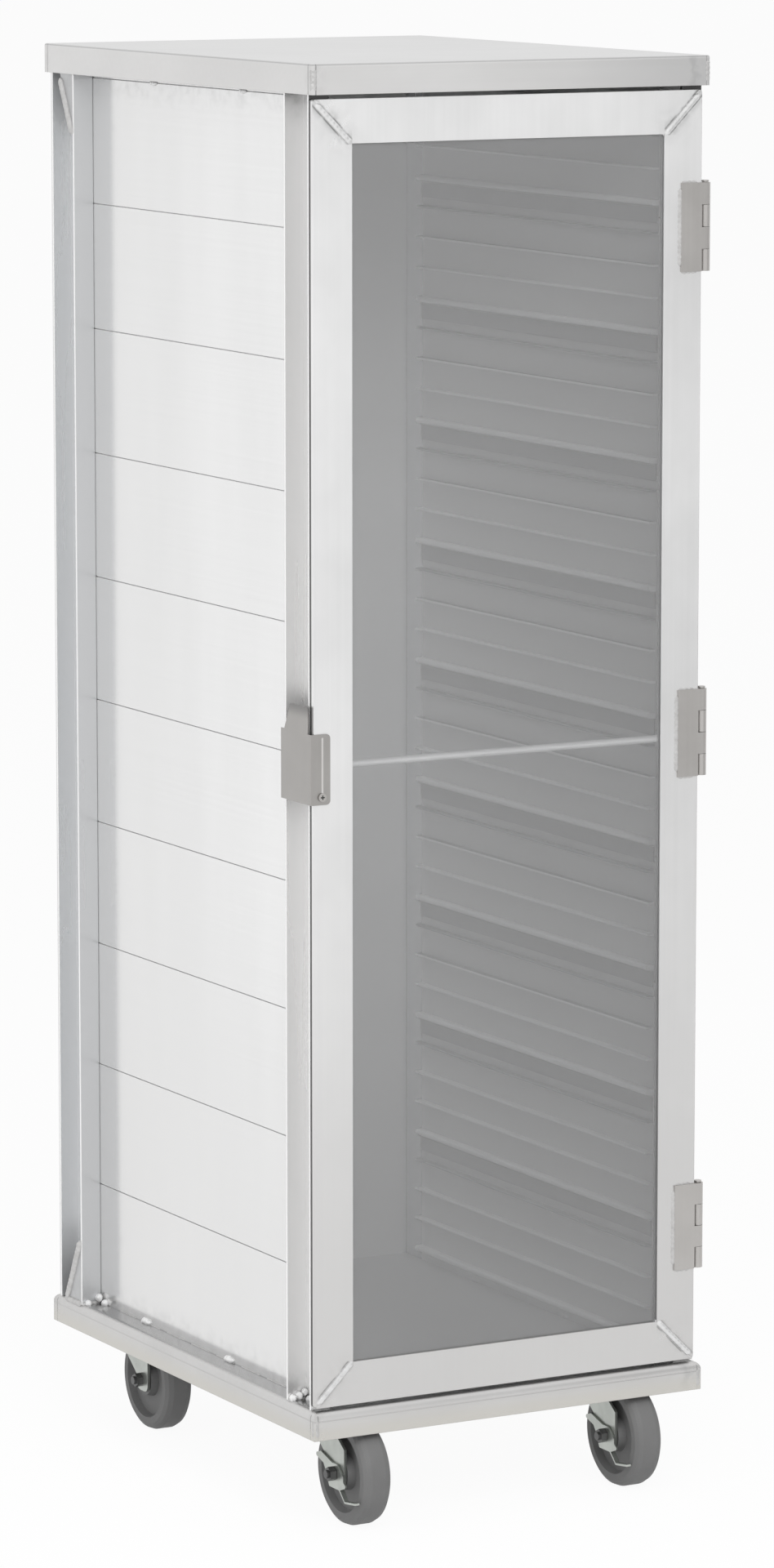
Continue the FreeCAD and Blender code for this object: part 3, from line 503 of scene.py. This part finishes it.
def paneFinish():
    paint = Finish("clearPane")
    through = paint.make("ShaderNodeBsdfTransparent", Color=paneLook["clear"])
    veil = paint.make("ShaderNodeBsdfDiffuse", Color=paneLook["hazeTint"])
    hazy = paint.make("ShaderNodeMixShader", _0=paneLook["haze"], _1=through, _2=veil)
    shine = paint.make("ShaderNodeBsdfAnisotropic", Color=paneLook["shine"], Roughness=paneLook["rough"])
    amount = paint.make("ShaderNodeFresnel", IOR=paneLook["index"])
    return paint.finish(paint.make("ShaderNodeMixShader", _0=amount, _1=hazy, _2=shine))


finishes["wheelRubber"] = wheelFinish()
finishes["clearPane"] = paneFinish()

# the first start that fits a node's name gives its finish
finishByStart = {"wall_": "wallAluminium", "caster_wheel": "wheelRubber", "caster_axle": "darkSteel",
                 "caster_": "zincPlate", "hinge_": "stainless", "latch_screw": "screwSteel",
                 "latch_": "latchSteel", "door_window": "clearPane", "door_rod": "rodAluminium",
                 "door_": "doorAluminium", "post_gussets": "gussetAluminium", "lid": "lidAluminium",
                 "base_pan": "baseAluminium", "rear_panel": "rearAluminium"}
for name, thing in nodes.items():
    start = next((entry for entry in finishByStart if name.startswith(entry)), None)
    thing.data.materials.clear()
    thing.data.materials.append(finishes[finishByStart.get(start, "postAluminium")])
print("finishes on", len(nodes), "nodes")


# weld bead: a rippled round drawn along each path, thinned at both ends
beadInputs = {"Path": "NodeSocketGeometry", "Step": "NodeSocketFloat", "Pitch": "NodeSocketFloat",
              "Ripple": "NodeSocketFloat", "Wobble": "NodeSocketFloat", "Finish": "NodeSocketMaterial"}
beadShape = {"sides": 10, "thinnest": 0.02, "lumps": 260.0}


def beadTree():
    tree = bpy.data.node_groups.new("weldBead", "GeometryNodeTree")
    for name, kind in beadInputs.items():
        tree.interface.new_socket(name=name, in_out="INPUT", socket_type=kind)
    tree.interface.new_socket(name="Bead", in_out="OUTPUT", socket_type="NodeSocketGeometry")
    board = Board(tree)
    inlet = tree.nodes.new("NodeGroupInput")
    ask = {name: Flow(board, inlet.outputs[name]) for name in beadInputs}
    line = board.make("GeometryNodeMeshToCurve", Mesh=ask["Path"])
    line = board.make("GeometryNodeResampleCurve", {"mode": "LENGTH"}, Curve=line, Length=ask["Step"])
    radius = board.make("GeometryNodeInputNamedAttribute", {"data_type": "FLOAT"}, Name="beadRadius")
    along = board.make("GeometryNodeSplineParameter", output=1)
    fromEnd = along.least(board.make("GeometryNodeSplineLength") - along)
    taper = (fromEnd / radius).least(1.0).most(beadShape["thinnest"]).math("SQRT")
    ripple = 1.0 + (along * (2 * math.pi) / ask["Pitch"]).math("SINE") * ask["Ripple"]
    ring = board.make("GeometryNodeCurvePrimitiveCircle", {"mode": "RADIUS"}, Resolution=beadShape["sides"],
                      Radius=1.0)
    bead = board.make("GeometryNodeCurveToMesh", Curve=line, **{"Profile Curve": ring, "Fill Caps": True,
                                                                "Scale": radius * taper * ripple})
    lumps = board.make("ShaderNodeTexNoise", Scale=beadShape["lumps"], Detail=2.0)
    push = board.make("ShaderNodeVectorMath", {"operation": "SCALE"},
                      _0=board.make("GeometryNodeInputNormal"), Scale=(lumps - 0.5) * ask["Wobble"])
    bead = board.make("GeometryNodeSetPosition", Geometry=bead, Offset=push)
    bead = board.make("GeometryNodeSetShadeSmooth", _0=bead)
    bead = board.make("GeometryNodeRealizeInstances", Geometry=bead)
    bead = board.make("GeometryNodeSetMaterial", Geometry=bead, Material=ask["Finish"])
    board.feed(tree.nodes.new("NodeGroupOutput").inputs["Bead"], bead)
    return tree


def layBeads(name, paths, finish, tree, **sizes):  # paths: (points, bead radius)
    points, edges, radii = [], [], []
    for line, radius in paths:
        edges += [(len(points) + step, len(points) + step + 1) for step in range(len(line) - 1)]
        points += [tuple(point) for point in line]
        radii += [radius] * len(line)
    sketch = bpy.data.meshes.new(name + "Path")
    sketch.from_pydata(points, edges, [])
    sketch.attributes.new("beadRadius", "FLOAT", "POINT").data.foreach_set("value", radii)
    guide = bpy.data.objects.new(name + "Path", sketch)
    scene.collection.objects.link(guide)
    bender = guide.modifiers.new("bead", "NODES")
    bender.node_group = tree
    for item in tree.interface.items_tree:
        if item.in_out == "INPUT" and item.name in sizes:
            bender[item.identifier] = sizes[item.name]
        elif item.in_out == "INPUT" and item.name == "Finish":
            bender[item.identifier] = finish
    ready = guide.evaluated_get(bpy.context.evaluated_depsgraph_get())
    mesh = bpy.data.meshes.new_from_object(ready)
    bpy.data.objects.remove(guide)
    piece = bpy.data.objects.new(name, mesh)
    scene.collection.objects.link(piece)
    return piece


# the welds: radius of each bead, and how far it is sunk, inset or cut short
doorWeld = {"radius": 5.0 * mm, "sunk": 2.7 * mm, "start": 3 * mm,
            "blob": 6.4 * mm, "blobSunk": 4.4 * mm, "blobSpan": (-7.2 * mm, 0.9 * mm)}
leafWeld = {"radius": 5.2 * mm, "sunk": 3.2 * mm, "height": 104 * mm, "shortened": 4 * mm,
            "endRadius": 3.9 * mm, "overlap": 2 * mm, "edgeInset": 3 * mm}
cornerWeld = {"radius": 4.6 * mm, "inset": 4.0 * mm, "rearInset": 4.9 * mm, "foot": 1 * mm,
              "baseHead": 6 * mm, "lidHead": 3 * mm}
gussetWeld = {"footHeight": 81 * mm, "headHeight": 103 * mm, "slope": 0.49, "inset": 1.2 * mm,
              "radius": 4.9 * mm, "footRadius": 4.4 * mm, "inner": 2.2 * mm, "outer": 12 * mm, "tip": 1 * mm}
footWeld = {"radius": 3.2 * mm, "headRadius": 2.56 * mm, "headDrop": 3 * mm, "webInset": 1 * mm,
            "frontInset": 4 * mm, "wallRadius": 0.8 * mm, "dash": 47 * mm, "gap": 19 * mm}
# blobs at the feet of the posts: out from the web, towards the front, up from the deck, radius
footBlobs = {
    "front": ((21, 6, 2, 6.6), (13, 6, 4, 7.4), (6, 7, 8, 5.2), (4, 16, 1, 6.0)),
    "rear": ((19, 3, 1, 5.8), (4, 3, 7, 6.8), (2, 15, 2, 6.0)),
}
blobReach = Vector((4 * mm, -2 * mm, 1 * mm))
# tacks along the foot and the head of the wall: where, half their length, the height of both ends, radius
tackWelds = (
    {"places": (147 * mm, -76 * mm), "half": 11 * mm, "radius": 4.2 * mm,
     "heights": (baseHigh.z + 2 * mm, baseHigh.z + 2 * mm)},
    {"places": (108 * mm, -122 * mm), "half": 22 / 3 * mm, "radius": 3.36 * mm,
     "heights": (lidLow.z - 5 * mm, lidLow.z - 4 * mm)},
)


def straight(start, end, radius):
    return [Vector(start), Vector(end)], radius


def mitrePaths():
    face = doorLow.y + doorWeld["sunk"]
    deep = doorLow.y + doorWeld["blobSunk"]
    paths = []
    for cornerX, inX in ((doorLow.x, 1), (doorHigh.x, -1)):
        for cornerZ, inZ in ((doorLow.z, 1), (doorHigh.z, -1)):
            inward = Vector((inX, 0, inZ))
            corner = Vector((cornerX, face, cornerZ))
            run = [corner + inward * step for step in (doorWeld["start"], railWidth)]
            paths.append((run, doorWeld["radius"]))
            blob = Vector((cornerX, deep, cornerZ)) + inward * railWidth
            paths.append(([blob + inward * step for step in doorWeld["blobSpan"]], doorWeld["blob"]))
    return paths


def leafPaths():
    face = doorLow.y + leafWeld["sunk"]
    paths = []
    for share in (0, 0.5, 1):  # the lowest, middle and highest leaf
        low = leafLow.z + share * (leafHigh.z - leafLow.z - leafWeld["height"])
        high = low + leafWeld["height"]
        left, right = leafLow.x, doorHigh.x - leafWeld["edgeInset"]
        paths.append(straight((left, face, low + leafWeld["shortened"]),
                              (left, face, high - leafWeld["shortened"]), leafWeld["radius"]))
        for level in (low, high):
            paths.append(straight((left - leafWeld["overlap"], face, level), (right, face, level),
                                  leafWeld["endRadius"]))
    return paths


def cornerPaths():
    paths = []
    for side in (-1, 1):
        for end, inset in ((-1, cornerWeld["inset"]), (1, cornerWeld["rearInset"])):
            for low, high, head in ((baseLow, baseHigh, cornerWeld["baseHead"]),
                                    (lidLow, lidHigh, cornerWeld["lidHead"])):
                x, y = side * (high.x - inset), end * (high.y - inset)
                paths.append(straight((x, y, low.z + cornerWeld["foot"]), (x, y, high.z - head),
                                      cornerWeld["radius"]))
    return paths


def cabinetPaths():
    paths = []
    for side in (-1, 1):
        x = side * abs(rearPostLow.x)
        web = side * (abs(rearPostHigh.x) + footWeld["webInset"])
        inner, outer = rearPostLow.y + gussetWeld["inner"], rearPostHigh.y - gussetWeld["outer"]
        headZ = rearPostHigh.z - footWeld["headDrop"]
        for floorZ, grow, height in ((baseHigh.z, 1, gussetWeld["footHeight"]),
                                     (headZ, -1, gussetWeld["headHeight"])):
            edge = x - side * gussetWeld["inset"]
            tip = Vector((edge, inner + gussetWeld["tip"], floorZ + grow * height))
            toe = Vector((edge, inner + gussetWeld["slope"] * height, floorZ))
            if grow < 0:  # at the head the bead stops under the lip of the lid
                toe = tip.lerp(toe, (lidLow.z - gussetWeld["radius"] - tip.z) / (toe.z - tip.z))
            else:
                paths.append(straight((edge, inner, floorZ), (edge, outer, floorZ),
                                      gussetWeld["footRadius"]))
            paths.append(([tip, toe], gussetWeld["radius"]))
        # along the foot and the head of the flanges next to the wall
        for face in (rearPostLow.y, frontPostHigh.y - footWeld["frontInset"]):
            for z, radius in ((baseHigh.z, footWeld["radius"]), (headZ, footWeld["headRadius"])):
                paths.append(straight((web, face, z), (x, face, z), radius))
        wall = side * abs(wallLow.x)
        start = wallLow.y
        while start + footWeld["dash"] < wallHigh.y:  # short runs along the foot of the wall
            end = start + footWeld["dash"]
            paths.append(straight((wall, start, baseHigh.z), (wall, end, baseHigh.z),
                                  footWeld["wallRadius"]))
            start = end + footWeld["gap"]
    return paths


def blobPaths():
    paths = []
    for side in (-1, 1):
        web = abs(rearPostHigh.x)
        for post, face in (("front", frontPostHigh.y), ("rear", rearPostLow.y)):
            for out, ahead, rise, radius in footBlobs[post]:
                middle = Vector((side * (web + out * mm), face - ahead * mm, baseHigh.z + rise * mm))
                reach = Vector((side * blobReach.x, blobReach.y, blobReach.z))
                paths.append(straight(middle - reach, middle + reach, radius * mm))
        wall = side * abs(wallLow.x)
        for tack in tackWelds:
            nearZ, farZ = tack["heights"]
            for y in tack["places"]:
                paths.append(straight((wall, y - tack["half"], nearZ), (wall, y + tack["half"], farZ),
                                      tack["radius"]))
    return paths


bead = beadTree()
smoothBead = {"Step": 0.7 * mm, "Pitch": 6.0 * mm, "Ripple": 0.03, "Wobble": 0.6 * mm}
roughBlob = {"Step": 0.7 * mm, "Pitch": 5.0 * mm, "Ripple": 0.10, "Wobble": 3.0 * mm}
welds = (("mitreWelds", "door", mitrePaths(), "mitreWeld", smoothBead),
         ("leafWelds", "door", leafPaths(), "groundWeld", smoothBead),
         ("cornerWelds", "cabinet", cornerPaths(), "groundWeld", smoothBead),
         ("frameWelds", "cabinet", cabinetPaths(), "groundWeld", smoothBead),
         ("weldBlobs", "cabinet", blobPaths(), "weldBlob", roughBlob))
for name, body, paths, finish, sizes in welds:
    piece = layBeads(name, paths, finishes[finish], bead, **sizes)
    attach(piece, body)
    print(name, len(piece.data.polygons), "faces")

# the latch: a pressed crease that stiffens its front, in steel painted lighter as a highlight
creaseLook = {"radius": 2.6 * mm, "sunk": 2.1 * mm, "inset": 10.0 * mm, "low": 3 * mm, "high": 80 * mm}
plainBead = {"Step": 1.0 * mm, "Pitch": 10 * mm, "Ripple": 0.0, "Wobble": 0.0}
creaseX, creaseY = latchHigh.x - creaseLook["inset"], latchLow.y + creaseLook["sunk"]
crease = straight((creaseX, creaseY, latchLow.z + creaseLook["low"]),
                  (creaseX, creaseY, latchLow.z + creaseLook["high"]), creaseLook["radius"])
latchCrease = layBeads("latchCrease", [crease], finishes["creaseSteel"], bead, **plainBead)
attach(latchCrease, "latch")
print("latch crease set")


# stage: white floor and world, soft boxes at the left, in front and above
stageLook = {"floorSize": 260.0, "floorColour": (0.88, 0.88, 0.88, 1), "floorWhite": 0.94, "worldLevel": 0.5}
whiteRays = ("Is Camera Ray", "Is Glossy Ray", "Is Transmission Ray")


def whiteToEye(board):  # 1 where the ray is one that shows the background
    rays = board.nodes.new("ShaderNodeLightPath")
    seen = Flow(board, rays.outputs[whiteRays[0]])
    for name in whiteRays[1:]:
        seen = seen.most(Flow(board, rays.outputs[name]))
    return seen


def floorFinish():
    paint = Finish("paleFloor")
    plain = paint.make("ShaderNodeBsdfDiffuse", Color=stageLook["floorColour"])
    white = paint.make("ShaderNodeEmission", Color=(1, 1, 1, 1), Strength=1.0)
    return paint.finish(paint.make("ShaderNodeMixShader", _0=whiteToEye(paint) * stageLook["floorWhite"],
                                   _1=plain, _2=white))


half = stageLook["floorSize"] / 2
floorMesh = bpy.data.meshes.new("floor")
floorCorners = [(-half, -half, 0), (half, -half, 0), (half, half, 0), (-half, half, 0)]
floorMesh.from_pydata(floorCorners, [], [(0, 1, 2, 3)])
floorMesh.materials.append(floorFinish())
floor = bpy.data.objects.new("floor", floorMesh)
scene.collection.objects.link(floor)

# a grey card at the right, seen only in reflections and fading to white towards its edges
cardLook = {"leftEnd": (1.06, -3.38, 0.0), "rightEnd": (3.55, -1.42, 0.0), "height": 2.6, "level": 0.5,
            "fadeLeft": (0.0, 1.5), "fadeRight": (2.4, 3.1), "fadeTop": (1.5, 2.6)}
leftEnd, rightEnd = Vector(cardLook["leftEnd"]), Vector(cardLook["rightEnd"])
upward = Vector((0, 0, cardLook["height"]))
along = (rightEnd - leftEnd).normalized()
cardPaint = Finish("greyCard")
fromLeft = (cardPaint.x - leftEnd.x) * along.x + (cardPaint.y - leftEnd.y) * along.y
shade = (fromLeft.ramp(*cardLook["fadeLeft"]) * (1.0 - fromLeft.ramp(*cardLook["fadeRight"]))
         * (1.0 - cardPaint.z.ramp(*cardLook["fadeTop"])))
cardColour = cardPaint.mix(shade, grey(1.0), grey(cardLook["level"]))
cardMesh = bpy.data.meshes.new("greyCard")
cardMesh.from_pydata([leftEnd, rightEnd, rightEnd + upward, leftEnd + upward], [], [(0, 1, 2, 3)])
cardGlow = cardPaint.make("ShaderNodeEmission", Color=cardColour, Strength=1.0)
cardMesh.materials.append(cardPaint.finish(cardGlow))
card = bpy.data.objects.new("greyCard", cardMesh)
card.visible_camera = card.visible_diffuse = card.visible_shadow = card.visible_transmission = False
scene.collection.objects.link(card)

scene.world = bpy.data.worlds.new("studio")
scene.world.use_nodes = True
scene.world.node_tree.nodes.clear()
sky = Board(scene.world.node_tree)
dim = sky.make("ShaderNodeBackground", Color=(1, 1, 1, 1), Strength=stageLook["worldLevel"])
white = sky.make("ShaderNodeBackground", Color=(1, 1, 1, 1), Strength=1.0)
studioLight = sky.make("ShaderNodeMixShader", _0=whiteToEye(sky), _1=dim, _2=white)
sky.make("ShaderNodeOutputWorld", Surface=studioLight)

softBoxes = {
    "leftBox": {"at": (-4.0, -1.4, 2.0), "to": (0, 0, 0.9), "size": (5.0, 4.4), "watts": 62},
    "frontBox": {"at": (-1.2, -3.9, 3.9), "to": (0, 0, 0.9), "size": (3.0, 3.0), "watts": 145},
    "topBox": {"at": (-0.2, -0.4, 4.6), "to": (0, 0, 0.9), "size": (3.5, 3.5), "watts": 30},
}
for name, box in softBoxes.items():
    lamp = bpy.data.lights.new(name, "AREA")
    lamp.shape = "RECTANGLE"
    lamp.size, lamp.size_y = box["size"]
    lamp.energy = box["watts"]
    holder = bpy.data.objects.new(name, lamp)
    holder.location = box["at"]
    holder.visible_glossy = False  # reflections show the white world and the grey card alone
    aim = Vector(box["to"]) - Vector(box["at"])
    holder.rotation_euler = aim.to_track_quat("-Z", "Y").to_euler()
    scene.collection.objects.link(holder)

# camera: fitted to the photograph with the lens left unshifted
shot = {"at": (-3.7008, -6.7903, 2.0228), "yaw": -28.745, "pitch": -8.784, "focalPixels": 7889.3,
        "frameHeight": 1920, "sensor": 36.0, "clipEnd": 500}
lens = bpy.data.cameras.new("camera")
lens.sensor_fit = "VERTICAL"
lens.sensor_height = shot["sensor"]
lens.lens = shot["focalPixels"] * shot["sensor"] / shot["frameHeight"]
lens.clip_end = shot["clipEnd"]
camera = bpy.data.objects.new("camera", lens)
camera.location = shot["at"]
camera.rotation_euler = (math.radians(90 + shot["pitch"]), 0, math.radians(shot["yaw"]))
scene.collection.objects.link(camera)
scene.camera = camera
print("stage, lamps and camera set")
